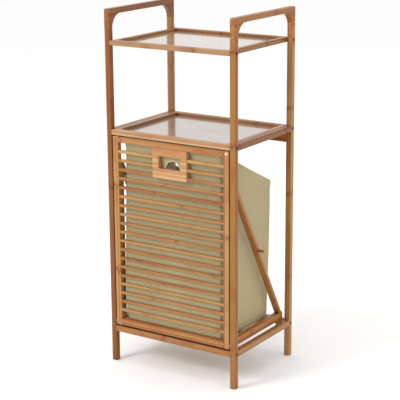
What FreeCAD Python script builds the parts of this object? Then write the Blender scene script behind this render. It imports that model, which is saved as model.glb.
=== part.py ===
import FreeCAD, Part
import os
import math

# Bamboo shelf tower with a tilt-out laundry hamper.
# Frame: X to the viewer's right, -Y is the front, +Z up.
# Origin: centre of the footprint, on the floor. All lengths in millimetres.

os.makedirs("parts", exist_ok=True)

V = FreeCAD.Vector

# ------------------------------------------------------------------ sizes
WIDTH = 400.0            # outside to outside of the two side frames (X)
DEPTH = 300.0            # front face to rear face of the posts (Y)
HEIGHT = 970.0           # floor to top of the handle rails (Z)
STICK = 16.0             # section of posts and rails
EDGE_R = 2.0             # rounding on the long edges of the sticks

PAD_T = 2.0              # felt pad under each post
PAD_S = 13.0

# handle arches on top of the side frames
ARCH_BAR = 15.0          # height of the handle bar
ARCH_IN_R = 36.0         # concave inner corner
ARCH_OUT_R = 4.0         # convex outer corner

# levels (undersides and tops)
UP_Z0, UP_Z1 = 876.0, 889.0        # upper shelf rails
MID_Z0, MID_Z1 = 639.0, 653.0      # middle shelf rails
SIDE_MID_Z0 = 637.0                # side frame rail beside the middle shelf
BOT_Z0, BOT_Z1 = 86.8, 103.6       # bottom rails
APRON_Z0, APRON_Z1 = 607.0, 637.0  # rear apron under the middle shelf
APRON_T = 12.0

PANEL_T = 4.0            # shelf panels
PANEL_TONGUE = 3.0       # how far a panel edge sits in its groove
PANEL_UP = 1.5           # underside of a panel above the underside of its rails

SHELF_GAP = 1.6          # shelf end rail to side frame rail

# tilting unit
DOOR_HW = 181.5          # half width of the door
STILE_W = 17.0
DOOR_T = 16.0
DOOR_Z0, DOOR_Z1 = 109.0, 636.3
DOOR_TOP_H = 16.3
DOOR_BOT_H = 18.5
SLAT_N = 19
SLAT_H = 8.0
SLAT_D = 7.0
SLAT_SETBACK = 1.5
SLAT_TOP_Z = 595.4       # centre of the top slat
SLAT_BOT_Z = 152.6       # centre of the bottom slat
SLAT_TENON = 5.5
BLOCK_HW = 53.5          # handle block
BLOCK_Z0 = 540.5
BLOCK_T = 13.0
GRIP_HW = 34.0           # hand hole
GRIP_Z0, GRIP_Z1 = 566.0, 599.0
GRIP_R = 3.0

TRAIL_W = 17.0           # lower side rails of the tilting unit
TRAIL_Z0, TRAIL_Z1 = 107.5, 129.0
TRAIL_REAR = 128.0
BRACE_W = 16.0           # braces, across
BRACE_T = 12.0           # braces, in their own plane
BRACE_Z_AT_STILE = 581.0 # upper edge of a brace where it meets the stile
BRACE_Y_AT_RAIL = 124.0  # upper edge of a brace where it meets the lower rail
UPRIGHT_D = 10.0         # upright behind each door stile, front to rear
UPRIGHT_Z1 = 570.0       # top of the uprights

PIVOT_Y, PIVOT_Z = -142.0, 118.0
PIN_D = 6.0
BUSH_OD = 10.0
BUSH_L = 12.0
RUN_CLEAR = 0.05         # radial, pin in bush

PEG_D = 8.0
PEG_Y = -3.0
PEG_OUT = 199.0

# bag
BAG_T = 1.5
BAG_HW = 150.0
BAG_FRONT = -133.0
BAG_Z0 = 118.0
BAG_RIM_FRONT_Z = 627.0
BAG_RIM_SLOPE = -0.505
BAG_HOLE_R = 23.0
BAG_HOLE_Z = 564.0

# fasteners
BOLT_D = 5.0
BOLT_HEAD_D = 9.0
BOLT_HEAD_T = 2.6
BOLT_L = 40.0
BOLT_HEX = 3.0
CBORE_D = 9.6
CBORE_T = 3.0
NUT_D = 8.0
DOWEL_D = 6.0

HW = WIDTH / 2.0
HD = DEPTH / 2.0
IN = HW - STICK          # inner face of the posts, X
INY = HD - STICK         # inner face of the posts, Y


# ---------------------------------------------------------------- helpers
def box(x0, x1, y0, y1, z0, z1):
    a, b = min(x0, x1), max(x0, x1)
    c, d = min(y0, y1), max(y0, y1)
    return Part.makeBox(b - a, d - c, z1 - z0, V(a, c, z0))


def stick(x0, x1, y0, y1, z0, z1, along, r=EDGE_R):
    """A rail with its four long edges rounded; 'along' is its long axis."""
    s = box(x0, x1, y0, y1, z0, z1)
    d = {"x": V(1, 0, 0), "y": V(0, 1, 0), "z": V(0, 0, 1)}[along]
    es = []
    for e in s.Edges:
        p, q = e.Vertexes[0].Point, e.Vertexes[1].Point
        t = q.sub(p)
        t.normalize()
        if abs(abs(t.dot(d)) - 1.0) < 1e-6:
            es.append(e)
    return s.makeFillet(r, es)


def cyl(x, y, z, d, length, along):
    ax = {"x": V(1, 0, 0), "y": V(0, 1, 0), "z": V(0, 0, 1)}[along]
    return Part.makeCylinder(d / 2.0, length, V(x, y, z), ax)


def cylx(y, z, d, x0, x1):
    return cyl(min(x0, x1), y, z, d, abs(x1 - x0), "x")


def cyly(x, z, d, y0, y1):
    return cyl(x, min(y0, y1), z, d, abs(y1 - y0), "y")


def cylz(x, y, d, z0, z1):
    return cyl(x, y, min(z0, z1), d, abs(z1 - z0), "z")


def cut(s, tools):
    for t in tools:
        s = s.cut(t)
    return s


def save(name, shape):
    shape = shape.removeSplitter() if shape.ShapeType in ("Solid",) else shape
    shape.exportStep("parts/%s.step" % name)


def group(solids):
    return Part.makeCompound(solids)


nodes = {}

# ----------------------------------------------------- frame bolts and nuts
# every bolt runs along X, through a post and into the end of a cross rail
BOLT_ROWS = [(-142.0, (UP_Z0 + UP_Z1) / 2.0, UP_Z0),
             (142.0, (UP_Z0 + UP_Z1) / 2.0, UP_Z0),
             (-142.0, (MID_Z0 + MID_Z1) / 2.0, MID_Z0),
             (142.0, (MID_Z0 + MID_Z1) / 2.0, MID_Z0),
             (-142.0, (BOT_Z0 + BOT_Z1) / 2.0, BOT_Z0),
             (142.0, (BOT_Z0 + BOT_Z1) / 2.0, BOT_Z0)]
HEAD_X = HW - CBORE_T            # underside of the bolt head
TIP_X = HEAD_X - BOLT_L
NUT_X = TIP_X + 6.0
NUT_L = 10.0


def post_cutters(sx, ys):
    """Clearance holes and counterbores for the bolts of one post."""
    out = []
    for (y, z, _z0) in BOLT_ROWS:
        if (y > 0) != (ys > 0):
            continue
        out.append(cylx(y, z, BOLT_D + 0.4, sx * (IN - 1), sx * (HW + 1)))
        out.append(cylx(y, z, CBORE_D, sx * HEAD_X, sx * (HW + 1)))
    return out


def rail_cutters(y, z, z0):
    """Bolt and barrel nut holes at both ends of one cross rail."""
    out = []
    for sx in (-1, 1):
        out.append(cylx(y, z, BOLT_D + 0.4, sx * (IN + 1), sx * (TIP_X - 1.5)))
        out.append(cylz(sx * NUT_X, y, NUT_D + 0.1, z0 - 1, z + NUT_L / 2.0))
    return out


bolts, nuts = [], []
for (y, z, z0) in BOLT_ROWS:
    for sx in (-1, 1):
        shank = cylx(y, z, BOLT_D, sx * TIP_X, sx * (HEAD_X + 0.5))
        head = cylx(y, z, BOLT_HEAD_D, sx * HEAD_X, sx * (HEAD_X + BOLT_HEAD_T))
        b = head.fuse(shank).removeSplitter()
        # hexagon socket
        r = BOLT_HEX / math.sqrt(3.0)
        pts = []
        for i in range(7):
            a = math.radians(60 * i)
            pts.append(V(sx * (HEAD_X + BOLT_HEAD_T + 0.1), y + r * math.cos(a), z + r * math.sin(a)))
        hexa = Part.Face(Part.makePolygon(pts)).extrude(V(-sx * 1.9, 0, 0))
        bolts.append(b.cut(hexa))
        n = cylz(sx * NUT_X, y, NUT_D, z - NUT_L / 2.0, z + NUT_L / 2.0 - 0.2)
        nuts.append(n.cut(cylx(y, z, BOLT_D + 0.1, sx * (NUT_X - 6), sx * (NUT_X + 6))))
nodes["frame_bolts"] = group(bolts)
nodes["barrel_nuts"] = group(nuts)

# ------------------------------------------------------------- side frames
POST_TOP = HEIGHT - ARCH_BAR - ARCH_IN_R
DOWEL_SIDE = []          # (sx, y0, y1, z) short dowels, side rails into posts
dowels = []
for sx, sn in ((-1, "left"), (1, "right")):
    for sy, yn in ((-1, "front"), (1, "rear")):
        p = stick(sx * IN, sx * HW, sy * INY, sy * HD, PAD_T, POST_TOP, "z")
        tools = post_cutters(sx, sy)
        # handle dowel
        tools.append(cylz(sx * (IN + 8), sy * (INY + 8), 8.0, POST_TOP - 20, POST_TOP + 1))
        # side rail dowels
        for z in ((SIDE_MID_Z0 + MID_Z1) / 2.0, (BOT_Z0 + BOT_Z1) / 2.0):
            tools.append(cyly(sx * (IN + 8), z, DOWEL_D, sy * (INY - 1), sy * (INY + 4.4)))
        if sy > 0:
            # apron dowels
            for z in (APRON_Z0 + 8, APRON_Z1 - 8):
                tools.append(cylx(142.0, z, DOWEL_D, sx * (IN - 1), sx * (IN + 9)))
        else:
            # blind hole for the hamper pivot pin
            tools.append(cylx(PIVOT_Y, PIVOT_Z, PIN_D, sx * (IN - 1), sx * (IN + 11)))
        nodes["post_%s_%s" % (yn, sn)] = cut(p, tools)
        dowels.append(cylz(sx * (IN + 8), sy * (INY + 8), 8.0, POST_TOP - 20, POST_TOP + 20))
        for z in ((SIDE_MID_Z0 + MID_Z1) / 2.0, (BOT_Z0 + BOT_Z1) / 2.0):
            dowels.append(cyly(sx * (IN + 8), z, DOWEL_D, sy * (INY + 4.4), sy * (INY - 15)))
        if sy > 0:
            for z in (APRON_Z0 + 8, APRON_Z1 - 8):
                dowels.append(cylx(142.0, z, DOWEL_D, sx * (IN - 10), sx * (IN + 9)))

    # handle arch: bar on top, legs running down onto the posts
    zc = HEIGHT - ARCH_BAR - ARCH_IN_R
    yi = INY - ARCH_IN_R
    ro, ri = ARCH_OUT_R, ARCH_IN_R
    k = math.sqrt(0.5)
    x0 = IN if sx > 0 else -HW
    P = lambda y, z: V(x0, y, z)
    edges = [
        Part.makeLine(P(-HD, POST_TOP), P(-HD, HEIGHT - ro)),
        Part.Arc(P(-HD, HEIGHT - ro), P(-HD + ro - ro * k, HEIGHT - ro + ro * k), P(-HD + ro, HEIGHT)).toShape(),
        Part.makeLine(P(-HD + ro, HEIGHT), P(HD - ro, HEIGHT)),
        Part.Arc(P(HD - ro, HEIGHT), P(HD - ro + ro * k, HEIGHT - ro + ro * k), P(HD, HEIGHT - ro)).toShape(),
        Part.makeLine(P(HD, HEIGHT - ro), P(HD, POST_TOP)),
        Part.makeLine(P(HD, POST_TOP), P(INY, POST_TOP)),
        Part.Arc(P(INY, zc), P(yi + ri * k, zc + ri * k), P(yi, zc + ri)).toShape(),
        Part.makeLine(P(yi, zc + ri), P(-yi, zc + ri)),
        Part.Arc(P(-yi, zc + ri), P(-yi - ri * k, zc + ri * k), P(-INY, zc)).toShape(),
        Part.makeLine(P(-INY, POST_TOP), P(-HD, POST_TOP)),
    ]
    prof = Part.Face(Part.Wire(edges))
    arch = prof.extrude(V(STICK, 0, 0))
    es = []
    for e in arch.Edges:
        bb = e.BoundBox
        flat_x = bb.XLength < 1e-6
        at_leg_end = bb.ZMax < POST_TOP + 1e-6
        if flat_x and not at_leg_end:
            es.append(e)
    arch = arch.makeFillet(EDGE_R, es)
    arch = cut(arch, [cylz(sx * (IN + 8), sy * (INY + 8), 8.0, POST_TOP - 1, POST_TOP + 20) for sy in (-1, 1)])
    nodes["handle_%s" % sn] = arch

    for nm, z0, z1 in (("mid", SIDE_MID_Z0, MID_Z1), ("bottom", BOT_Z0, BOT_Z1)):
        r = stick(sx * IN, sx * HW, -INY, INY, z0, z1, "y")
        z = (z0 + z1) / 2.0
        r = cut(r, [cyly(sx * (IN + 8), z, DOWEL_D, sy * (INY + 1), sy * (INY - 15)) for sy in (-1, 1)])
        nodes["side_rail_%s_%s" % (nm, sn)] = r
nodes["frame_dowels"] = group(dowels)

# felt pads under the posts
nodes["foot_pads"] = group([
    box(sx * (HW - 8) - PAD_S / 2, sx * (HW - 8) + PAD_S / 2,
        sy * (HD - 8) - PAD_S / 2, sy * (HD - 8) + PAD_S / 2, 0, PAD_T)
    for sx in (-1, 1) for sy in (-1, 1)])


# ------------------------------------------------------------------ shelves
def shelf(prefix, z0, z1):
    zc = (z0 + z1) / 2.0
    pz0 = z0 + PANEL_UP
    pz1 = pz0 + PANEL_T
    for sy, yn in ((-1, "front"), (1, "rear")):
        r = stick(-IN, IN, sy * INY, sy * HD, z0, z1, "x")
        g = box(-IN + STICK - PANEL_TONGUE, IN - STICK + PANEL_TONGUE,
                sy * (INY - 1), sy * (INY + PANEL_TONGUE), pz0, pz1)
        nodes["%s_%s_rail" % (prefix, yn)] = cut(r, rail_cutters(sy * 142.0, zc, z0) + [g])
    for sx, sn in ((-1, "left"), (1, "right")):
        xa = IN - STICK
        r = stick(sx * xa, sx * (IN - SHELF_GAP), -INY, INY, z0, z1, "y")
        g = box(sx * (xa - 1), sx * (xa + PANEL_TONGUE), -INY - 1, INY + 1, pz0, pz1)
        nodes["%s_end_rail_%s" % (prefix, sn)] = r.cut(g)
    nodes["%s_panel" % prefix] = box(-(IN - STICK + PANEL_TONGUE), IN - STICK + PANEL_TONGUE,
                                     -(INY + PANEL_TONGUE), INY + PANEL_TONGUE, pz0, pz1)


shelf("upper_shelf", UP_Z0, UP_Z1)
shelf("middle_shelf", MID_Z0, MID_Z1)

# apron and bottom cross rails
ap = stick(-IN, IN, 136.0, 136.0 + APRON_T, APRON_Z0, APRON_Z1, "x")
nodes["rear_apron"] = cut(ap, [cylx(142.0, z, DOWEL_D, sx * (IN + 1), sx * (IN - 10))
                               for sx in (-1, 1) for z in (APRON_Z0 + 8, APRON_Z1 - 8)])
for sy, yn in ((-1, "front"), (1, "rear")):
    r = stick(-IN, IN, sy * INY, sy * HD, BOT_Z0, BOT_Z1, "x")
    nodes["bottom_rail_%s" % yn] = cut(r, rail_cutters(sy * 142.0, (BOT_Z0 + BOT_Z1) / 2.0, BOT_Z0))

# rest blocks glued to the inner faces of the bottom side rails
nodes["rest_blocks"] = group([
    stick(sx * 174.0, sx * IN, 104.0, 124.0, 92.0, TRAIL_Z0 - 0.2, "y", 1.0) for sx in (-1, 1)])

# ------------------------------------------------------------- tilting unit
SLAT_ZS = [SLAT_TOP_Z + (SLAT_BOT_Z - SLAT_TOP_Z) * i / (SLAT_N - 1) for i in range(SLAT_N)]
SLAT_Y0 = -HD + SLAT_SETBACK
SLAT_Y1 = SLAT_Y0 + SLAT_D
ST_IN = DOOR_HW - STILE_W          # inner face of the stiles
ST_REAR = -HD + DOOR_T             # rear face of the door

# brace lines: upper edge, run on to the back of the stile, from (ST_REAR, BRACE_Z_AT_STILE)
# to (BRACE_Y_AT_RAIL, TRAIL_Z1)
BR_SLOPE = (TRAIL_Z1 - BRACE_Z_AT_STILE) / (BRACE_Y_AT_RAIL - ST_REAR)
BR_ANG = math.atan(-BR_SLOPE)
BR_DROP = BRACE_T / math.cos(BR_ANG)       # vertical extent of the brace section
PEG_Z = BRACE_Z_AT_STILE + BR_SLOPE * (PEG_Y - ST_REAR) - BR_DROP / 2.0
UP_REAR = ST_REAR + UPRIGHT_D      # rear face of the uprights, where the braces start
BR_JOINT_Z = 546.0                 # dowel from stile through upright into brace

door_dowels = []
for sx, sn in ((-1, "left"), (1, "right")):
    s = stick(sx * ST_IN, sx * DOOR_HW, -HD, ST_REAR, DOOR_Z0, DOOR_Z1, "z")
    tools = []
    for z in SLAT_ZS:
        tools.append(box(sx * (ST_IN - 1), sx * (ST_IN + SLAT_TENON), SLAT_Y0, SLAT_Y1,
                         z - SLAT_H / 2, z + SLAT_H / 2))
    # pivot bush seat, rail dowels, lower rail dowel, brace dowel
    tools.append(cylx(PIVOT_Y, PIVOT_Z, BUSH_OD, sx * (DOOR_HW + 1), sx * (DOOR_HW - BUSH_L)))
    tools.append(cylx(-142.0, DOOR_Z1 - DOOR_TOP_H / 2, DOWEL_D, sx * (ST_IN - 1), sx * (ST_IN + 9)))
    tools.append(cylx(-142.0, DOOR_Z0 + DOOR_BOT_H / 2, DOWEL_D, sx * (ST_IN - 1), sx * (ST_IN + 3.5)))
    tools.append(cyly(sx * 173.0, 118.25, DOWEL_D, ST_REAR - 2.8, ST_REAR + 1))
    for z in (BR_JOINT_Z, 370.0, 200.0):
        tools.append(cyly(sx * 173.0, z, DOWEL_D, ST_REAR - 6.5, ST_REAR + 1))
    if sx > 0:
        tools.append(cyly(173.5, 629.5, 8.0, -HD - 1, -HD + 3))
    nodes["door_stile_%s" % sn] = cut(s, tools)
    door_dowels.append(cylx(-142.0, DOOR_Z1 - DOOR_TOP_H / 2, DOWEL_D, sx * (ST_IN - 14), sx * (ST_IN + 9)))
    door_dowels.append(cylx(-142.0, DOOR_Z0 + DOOR_BOT_H / 2, DOWEL_D, sx * (ST_IN - 14), sx * (ST_IN + 3.5)))
    door_dowels.append(cyly(sx * 173.0, 118.25, DOWEL_D, ST_REAR - 2.8, ST_REAR + 18))
    door_dowels.append(cyly(sx * 173.0, BR_JOINT_Z, DOWEL_D, ST_REAR - 6.5, UP_REAR + 5))
    for z in (370.0, 200.0):
        door_dowels.append(cyly(sx * 173.0, z, DOWEL_D, ST_REAR - 6.5, ST_REAR + 7))
    door_dowels.append(cylz(sx * 173.0, 115.5, 5.0, 119.0, 136.0))

    # lower side rail
    t = stick(sx * (DOOR_HW - TRAIL_W), sx * DOOR_HW, ST_REAR, TRAIL_REAR, TRAIL_Z0, TRAIL_Z1, "y")
    rear_edges = [e for e in t.Edges if abs(e.BoundBox.YMin - TRAIL_REAR) < 1e-6
                  and e.BoundBox.XLength > 8 and e.BoundBox.ZLength < 1e-6]
    tools = [cyly(sx * 173.0, 118.25, DOWEL_D, ST_REAR - 1, ST_REAR + 18),
             cylz(sx * 173.0, 115.5, 5.0, 119.0, TRAIL_Z1 + 1)]
    for yb in (-60.0, 56.0):
        tools.append(cylx(yb + 12, 112.5, 5.0, sx * (DOOR_HW - TRAIL_W - 1), sx * (DOOR_HW - TRAIL_W + 6)))
        door_dowels.append(cylx(yb + 12, 112.5, 5.0, sx * (DOOR_HW - TRAIL_W - 10), sx * (DOOR_HW - TRAIL_W + 6)))
    nodes["hamper_rail_%s" % sn] = cut(t, tools)

    # upright that stands on the lower rail against the back of the stile
    xb0 = DOOR_HW - BRACE_W
    u = stick(sx * xb0, sx * DOOR_HW, ST_REAR, UP_REAR, TRAIL_Z1, UPRIGHT_Z1, "z", 1.5)
    top_edges = [e for e in u.Edges if abs(e.BoundBox.ZMin - UPRIGHT_Z1) < 1e-6
                 and e.BoundBox.XLength > 8 and abs(e.BoundBox.YMin - UP_REAR) < 1e-6]
    if top_edges:
        u = u.makeFillet(2.5, top_edges)
    nodes["hamper_upright_%s" % sn] = cut(u, [
        cyly(sx * 173.0, BR_JOINT_Z, DOWEL_D, ST_REAR - 1, UP_REAR + 1),
        cyly(sx * 173.0, 370.0, DOWEL_D, ST_REAR - 1, ST_REAR + 7),
        cyly(sx * 173.0, 200.0, DOWEL_D, ST_REAR - 1, ST_REAR + 7)])

    # brace from the upright down to the rear end of the lower rail
    zt = BRACE_Z_AT_STILE + BR_SLOPE * UPRIGHT_D
    yb = BRACE_Y_AT_RAIL
    y_low = yb + BR_DROP / BR_SLOPE
    pts = [V(sx * xb0, UP_REAR, zt), V(sx * xb0, yb, TRAIL_Z1),
           V(sx * xb0, y_low, TRAIL_Z1), V(sx * xb0, UP_REAR, zt - BR_DROP),
           V(sx * xb0, UP_REAR, zt)]
    f = Part.Face(Part.makePolygon(pts))
    br = f.extrude(V(sx * BRACE_W, 0, 0))
    es = [e for e in br.Edges if e.Length > 300]
    br = br.makeFillet(1.8, es)
    br = cut(br, [cylx(PEG_Y, PEG_Z, PEG_D, sx * (DOOR_HW + 1), sx * (DOOR_HW - 10)),
                  cyly(sx * 173.0, BR_JOINT_Z, DOWEL_D, UP_REAR - 1, UP_REAR + 5),
                  cylz(sx * 173.0, 115.5, 5.0, TRAIL_Z1 - 1, 136.0)])
    nodes["brace_%s" % sn] = br
nodes["hamper_dowels"] = group(door_dowels)

# door rails
def door_rail(z0, z1, depth_in):
    r = stick(-ST_IN, ST_IN, -HD, ST_REAR, z0, z1, "x")
    z = (z0 + z1) / 2.0
    return cut(r, [cylx(-142.0, z, DOWEL_D, sx * (ST_IN + 1), sx * (ST_IN - 14)) for sx in (-1, 1)])

SCREW_XS = (-120.0, -60.0, 60.0, 120.0)
SCREW_Z = 624.0
top_rail = door_rail(DOOR_Z1 - DOOR_TOP_H, DOOR_Z1, 0)
top_rail = cut(top_rail, [cyly(x, SCREW_Z, 3.0, ST_REAR - 9, ST_REAR + 1) for x in SCREW_XS])
nodes["door_top_rail"] = top_rail
nodes["door_bottom_rail"] = door_rail(DOOR_Z0, DOOR_Z0 + DOOR_BOT_H, 0)

# handle block with its hand hole
blk = stick(-BLOCK_HW, BLOCK_HW, -HD, -HD + BLOCK_T, BLOCK_Z0, DOOR_Z1 - DOOR_TOP_H, "z", 1.2)
grip = box(-GRIP_HW, GRIP_HW, -HD - 1, -HD + BLOCK_T + 1, GRIP_Z0, GRIP_Z1)
grip = grip.makeFillet(GRIP_R, [e for e in grip.Edges if e.BoundBox.YLength > BLOCK_T])
blk = blk.cut(grip)
blk = blk.makeFillet(1.2, [e for e in blk.Edges
                           if e.BoundBox.YLength < 1e-6 and abs(e.BoundBox.YMin + HD) < 1e-6
                           and e.BoundBox.XMin > -GRIP_HW - 0.1 and e.BoundBox.XMax < GRIP_HW + 0.1
                           and e.BoundBox.ZMin > GRIP_Z0 - 0.1 and e.BoundBox.ZMax < GRIP_Z1 + 0.1])
BLOCK_TENON = 4.0
slats = []
for z in SLAT_ZS:
    if z - SLAT_H / 2 > BLOCK_Z0:
        for sx in (-1, 1):
            xi = BLOCK_HW - BLOCK_TENON
            slats.append(stick(sx * xi, sx * (ST_IN + SLAT_TENON), SLAT_Y0, SLAT_Y1,
                               z - SLAT_H / 2, z + SLAT_H / 2, "x", 1.2))
            blk = blk.cut(box(sx * xi, sx * (BLOCK_HW + 1), SLAT_Y0, SLAT_Y1,
                              z - SLAT_H / 2, z + SLAT_H / 2))
    else:
        slats.append(stick(-(ST_IN + SLAT_TENON), ST_IN + SLAT_TENON, SLAT_Y0, SLAT_Y1,
                           z - SLAT_H / 2, z + SLAT_H / 2, "x", 1.2))
nodes["handle_block"] = blk
nodes["door_slats"] = group(slats)

# small trim on the door: a plug in the right stile, a bumper dot on the left stile
nodes["door_plug"] = cyly(173.5, 629.5, 8.0, -HD, -HD + 3)
nodes["door_bumper"] = cylz(-168.5, -143.5, 7.0, DOOR_Z1, DOOR_Z1 + 1.6)

# base battens that carry the bag
for nm, y0 in (("front", -60.0), ("rear", 56.0)):
    b = stick(-(DOOR_HW - TRAIL_W), DOOR_HW - TRAIL_W, y0, y0 + 24.0, TRAIL_Z0, BAG_Z0 - 0.3, "x", 1.5)
    b = cut(b, [cylx(y0 + 12, 112.5, 5.0, sx * (DOOR_HW - TRAIL_W + 1), sx * (DOOR_HW - TRAIL_W - 10)) for sx in (-1, 1)])
    nodes["base_batten_%s" % nm] = b

# stop pegs on the braces
pegs = []
for sx in (-1, 1):
    p = cylx(PEG_Y, PEG_Z, PEG_D, sx * (DOOR_HW - 10), sx * PEG_OUT)
    p = p.makeFillet(1.2, [e for e in p.Edges if e.BoundBox.XLength < 1e-6
                           and abs(abs(e.BoundBox.XMin) - PEG_OUT) < 1e-6])
    pegs.append(p)
nodes["stop_pegs"] = group(pegs)

# pivots: steel pins fixed in the front posts, bushes pressed into the stiles,
# spacer washers between post and stile
nodes["pivot_pins"] = group([cylx(PIVOT_Y, PIVOT_Z, PIN_D, sx * (DOOR_HW - BUSH_L + 1.0), sx * (IN + 11))
                             for sx in (-1, 1)])
nodes["pivot_bushes"] = group([
    cylx(PIVOT_Y, PIVOT_Z, BUSH_OD, sx * DOOR_HW, sx * (DOOR_HW - BUSH_L)).cut(
        cylx(PIVOT_Y, PIVOT_Z, PIN_D + 2 * RUN_CLEAR, sx * (DOOR_HW + 1), sx * (DOOR_HW - BUSH_L - 1)))
    for sx in (-1, 1)])
nodes["pivot_washers"] = group([
    cylx(PIVOT_Y, PIVOT_Z, 12.0, sx * (IN - 1.6), sx * IN).cut(
        cylx(PIVOT_Y, PIVOT_Z, PIN_D, sx * (IN + 1), sx * (IN - 3)))
    for sx in (-1, 1)])


# ---------------------------------------------------------------------- bag
def rrect(hw, y0, y1, z, r):
    """Rounded rectangle wire in a horizontal plane."""
    k = math.sqrt(0.5)
    q = [(hw - r, y0 + r, -90), (hw - r, y1 - r, 0), (-hw + r, y1 - r, 90), (-hw + r, y0 + r, 180)]
    es = []
    prev = None
    first = None
    for cx, cy, a in q:
        a0, a1, a2 = math.radians(a), math.radians(a + 45), math.radians(a + 90)
        p0 = V(cx + r * math.cos(a0), cy + r * math.sin(a0), z)
        p1 = V(cx + r * math.cos(a1), cy + r * math.sin(a1), z)
        p2 = V(cx + r * math.cos(a2), cy + r * math.sin(a2), z)
        if prev is not None:
            es.append(Part.makeLine(prev, p0))
        else:
            first = p0
        es.append(Part.Arc(p0, p1, p2).toShape())
        prev = p2
    es.append(Part.makeLine(prev, first))
    return Part.Wire(es)


# horizontal sections of the bag, floor to rim: half width, rear y and front inset.
# The sides belly out a little half way up and the back leans out to the rim.
BAG_REAR_BOTTOM = 101.5
BAG_REAR_RIM = 115.0


def bag_section(z):
    t = (z - BAG_Z0) / (BAG_RIM_FRONT_Z - BAG_Z0)
    belly = math.sin(math.pi * min(max(t * 1.12, 0.0), 1.0))
    hw = BAG_HW - 0.8 + 2.2 * belly
    yr = BAG_REAR_BOTTOM + (BAG_REAR_RIM - BAG_REAR_BOTTOM) * (z - BAG_Z0) / (501.0 - BAG_Z0) + 1.2 * belly
    return hw, yr


BAG_LEVELS = [125.0, 150.0, 185.0, 225.0, 270.0, 320.0, 370.0, 420.0, 470.0, 520.0, 575.0, 650.0]


def bag_loft(inset, z_floor):
    ws = [rrect(BAG_HW - 5.0 - inset, BAG_FRONT + 4.0 + inset, BAG_REAR_BOTTOM - 4.5 - inset, z_floor, 11.0 - inset)]
    for z in BAG_LEVELS:
        hw, yr = bag_section(z)
        fr = 0.4 if z < 130 else 0.0
        ws.append(rrect(hw - inset, BAG_FRONT + fr + inset, yr - inset, z, 11.0 - inset))
    return Part.makeLoft(ws, True, True)


outer = bag_loft(0.0, BAG_Z0)
inner = bag_loft(BAG_T, BAG_Z0 + BAG_T)
bag = outer.cut(inner)
# sloping rim: remove everything above the plane through the rim
zf = BAG_RIM_FRONT_Z
yf = BAG_FRONT
zr = zf + BAG_RIM_SLOPE * (130.0 - yf)
zf0 = zf + BAG_RIM_SLOPE * (-150.0 - yf)
wedge = Part.Face(Part.makePolygon([V(-200, -150, zf0), V(-200, 130, zr), V(-200, 130, 700),
                                    V(-200, -150, 700), V(-200, -150, zf0)])).extrude(V(400, 0, 0))
bag = bag.cut(wedge)
# round cut-out in the front panel behind the hand hole, and screw holes under the top rail
bag = bag.cut(cyly(0, BAG_HOLE_Z, 2 * BAG_HOLE_R, BAG_FRONT - 3, BAG_FRONT + 6))
bag = cut(bag, [cyly(x, SCREW_Z, 3.4, BAG_FRONT - 3, BAG_FRONT + 6) for x in SCREW_XS])
nodes["laundry_bag"] = bag

# ring that binds the cut-out
ring = cyly(0, BAG_HOLE_Z, 2 * BAG_HOLE_R, BAG_FRONT - 0.7, BAG_FRONT + BAG_T + 0.7).cut(
    cyly(0, BAG_HOLE_Z, 2 * BAG_HOLE_R - 3.0, BAG_FRONT - 2, BAG_FRONT + 5))
flange = cyly(0, BAG_HOLE_Z, 2 * BAG_HOLE_R + 5.0, BAG_FRONT - 1.2, BAG_FRONT).cut(
    cyly(0, BAG_HOLE_Z, 2 * BAG_HOLE_R - 3.0, BAG_FRONT - 2, BAG_FRONT + 5))
flange2 = cyly(0, BAG_HOLE_Z, 2 * BAG_HOLE_R + 5.0, BAG_FRONT + BAG_T, BAG_FRONT + BAG_T + 1.0).cut(
    cyly(0, BAG_HOLE_Z, 2 * BAG_HOLE_R - 3.0, BAG_FRONT - 2, BAG_FRONT + 5))
nodes["bag_ring"] = ring.fuse([flange, flange2]).removeSplitter()

# stiff board on the floor of the bag
nodes["bag_base_board"] = stick(-141.0, 141.0, -124.0, 92.0, BAG_Z0 + BAG_T + 0.1, BAG_Z0 + BAG_T + 3.1, "z", 8.0)

# screws that hold the front hem of the bag to the back of the top rail
scr = []
for x in SCREW_XS:
    shank = cyly(x, SCREW_Z, 2.8, ST_REAR - 8.5, BAG_FRONT + BAG_T + 0.2)
    head = cyly(x, SCREW_Z, 6.0, BAG_FRONT + BAG_T, BAG_FRONT + BAG_T + 1.8)
    s = shank.fuse(head).removeSplitter()
    slot = box(x - 0.5, x + 0.5, BAG_FRONT + BAG_T + 0.9, BAG_FRONT + BAG_T + 3, SCREW_Z - 1.9, SCREW_Z + 1.9)
    slot2 = box(x - 1.9, x + 1.9, BAG_FRONT + BAG_T + 0.9, BAG_FRONT + BAG_T + 3, SCREW_Z - 0.5, SCREW_Z + 0.5)
    scr.append(s.cut(slot).cut(slot2))
nodes["bag_screws"] = group(scr)

# ------------------------------------------------------------------- export
for name in nodes:
    save(name, nodes[name])
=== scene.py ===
import math
import bpy
import bmesh
from mathutils import Vector, Matrix, noise


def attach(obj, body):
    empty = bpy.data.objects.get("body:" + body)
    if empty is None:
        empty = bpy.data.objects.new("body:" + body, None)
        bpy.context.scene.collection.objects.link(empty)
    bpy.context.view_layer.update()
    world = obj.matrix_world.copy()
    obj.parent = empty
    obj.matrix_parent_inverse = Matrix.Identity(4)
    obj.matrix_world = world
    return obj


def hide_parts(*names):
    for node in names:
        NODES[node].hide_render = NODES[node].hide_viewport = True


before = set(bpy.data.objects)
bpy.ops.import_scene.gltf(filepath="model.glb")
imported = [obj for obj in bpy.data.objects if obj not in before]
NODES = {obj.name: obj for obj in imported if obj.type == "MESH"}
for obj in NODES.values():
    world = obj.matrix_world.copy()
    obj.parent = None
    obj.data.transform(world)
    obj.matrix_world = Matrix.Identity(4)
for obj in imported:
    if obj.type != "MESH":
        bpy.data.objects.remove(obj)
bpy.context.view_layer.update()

scene = bpy.context.scene
TAU = 2 * math.pi


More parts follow.
